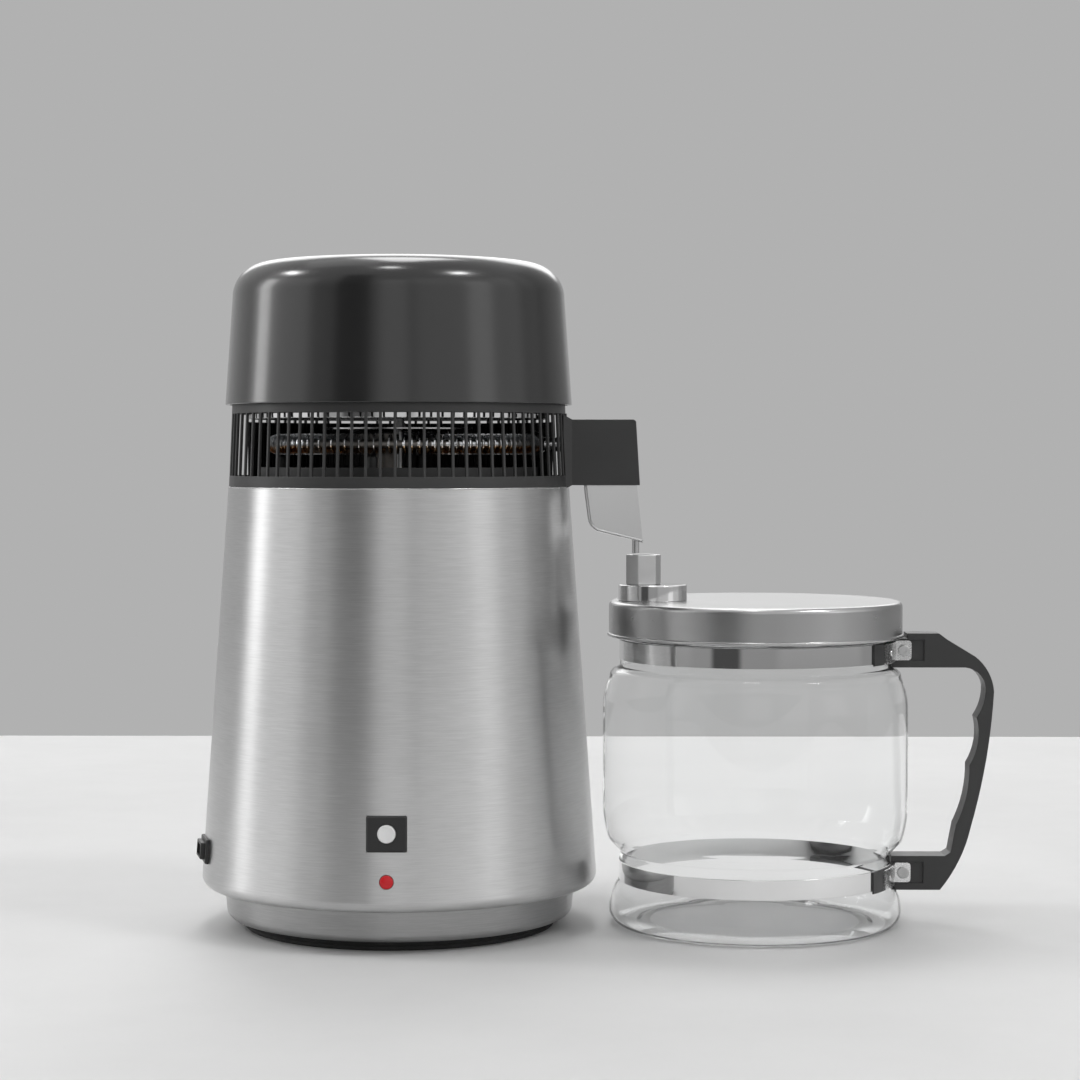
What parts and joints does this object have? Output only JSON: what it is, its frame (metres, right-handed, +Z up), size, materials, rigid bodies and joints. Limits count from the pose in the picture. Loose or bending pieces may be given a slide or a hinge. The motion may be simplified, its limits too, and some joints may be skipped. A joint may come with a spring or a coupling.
{
  "type": "countertop water distiller",
  "caption": "Countertop water distiller: steel boiler with push buttons, lift-off fan head, slide-out spout nozzle and a handled glass jug with a turning lid.",
  "frame": {"origin": "on the boiler's axis, at counter level", "axes": "+Z up, +X from the boiler towards the jug, -Y towards the push buttons"},
  "size_m": [0.4641, 0.2331, 0.39],
  "materials": {
    "shell_steel": "brushed round the axis",
    "bright_steel": "satin",
    "polished": "polished",
    "plain_steel": "plain",
    "satin_charcoal": "satin",
    "gloss_charcoal": "gloss",
    "black_plastic": "satin",
    "black_rubber": "matt",
    "silicone": "matt",
    "white_button": "gloss",
    "red_button": "gloss",
    "terminal_brass": "plain",
    "cast_aluminium": "cast",
    "coil_fins": "satin",
    "fan_aluminium": "plain",
    "ceramic": "matt",
    "wire_jacket": "satin",
    "clear_glass": "clear"
  },
  "bodies": {
    "boiler": {"foot_ring": "black_rubber", "base_ring": "shell_steel", "base_plate": "black_plastic", "base_screws": "plain_steel", "outer_shell": "shell_steel", "inner_tank": "bright_steel", "heater_plate": "cast_aluminium", "heating_element": "plain_steel", "thermostat": "ceramic", "heat_shield": "plain_steel", "tie_bolts": "plain_steel", "tie_nuts": "plain_steel", "control_plate": "black_plastic", "power_switch": "black_plastic", "reset_cutout": "black_plastic", "power_inlet": "black_plastic", "inlet_pins": "terminal_brass", "fan_outlet": "black_plastic", "base_wires": "wire_jacket"},
    "power_button": {"power_button": "white_button"},
    "reset_button": {"reset_button": "red_button"},
    "head": {"head_seal": "silicone", "steam_plate": "bright_steel", "vent_cage": "satin_charcoal", "top_cover": "gloss_charcoal", "cover_screws": "plain_steel", "spout_box": "satin_charcoal", "steam_riser": "bright_steel", "condenser_coil": "coil_fins", "coil_stands": "plain_steel", "coil_clamp": "bright_steel", "clamp_bolt": "plain_steel", "outlet_elbow": "bright_steel", "air_guard": "black_plastic", "fan_shroud": "bright_steel", "fan_bracket": "plain_steel", "bracket_screws": "plain_steel", "fan_motor": "plain_steel", "fan_inlet": "black_plastic", "head_wires": "wire_jacket"},
    "fan": {"fan_shaft": "bright_steel", "fan_blades": "fan_aluminium"},
    "nozzle": {"spout_nozzle": "polished", "drip_tube": "bright_steel", "charcoal_filter": "ceramic"},
    "jug": {"jug_glass": "clear_glass", "upper_band": "polished", "lower_band": "polished", "handle": "satin_charcoal", "band_tabs": "bright_steel", "tab_rivets": "bright_steel", "handle_screws": "bright_steel", "handle_nuts": "bright_steel"},
    "lid": {"jug_lid": "bright_steel", "lid_seal": "silicone", "inlet_disc": "polished", "inlet_post": "polished", "inlet_nut": "plain_steel"}
  },
  "joints": [
    {"name": "power_button_press", "type": "slide", "parent": "boiler", "child": "power_button", "axis": [0, 0.9975, -0.0705], "range_m": [0, 0.0025], "stiffness_N_per_m": 400, "springref_m": -0.001},
    {"name": "reset_button_press", "type": "slide", "parent": "boiler", "child": "reset_button", "axis": [0, 0.9975, -0.0705], "range_m": [0, 0.002], "stiffness_N_per_m": 400, "springref_m": -0.001},
    {"name": "head_lift", "type": "slide", "parent": "boiler", "child": "head", "axis": [0, 0, 1], "range_m": [0, 0.15]},
    {"name": "fan_spin", "type": "hinge", "parent": "head", "child": "fan", "pos_m": [0, 0, 0.31], "axis": [0, 0, 1], "continuous": true},
    {"name": "nozzle_slide", "type": "slide", "parent": "head", "child": "nozzle", "axis": [1, 0, 0], "range_m": [0, 0.06]},
    {"name": "jug_slide", "type": "slide", "parent": "boiler", "child": "jug", "axis": [1, 0, 0], "range_m": [0, 0.25]},
    {"name": "lid_turn", "type": "hinge", "parent": "jug", "child": "lid", "pos_m": [0.2083, 0, 0.186], "axis": [0, 0, 1], "continuous": true}
  ]
}
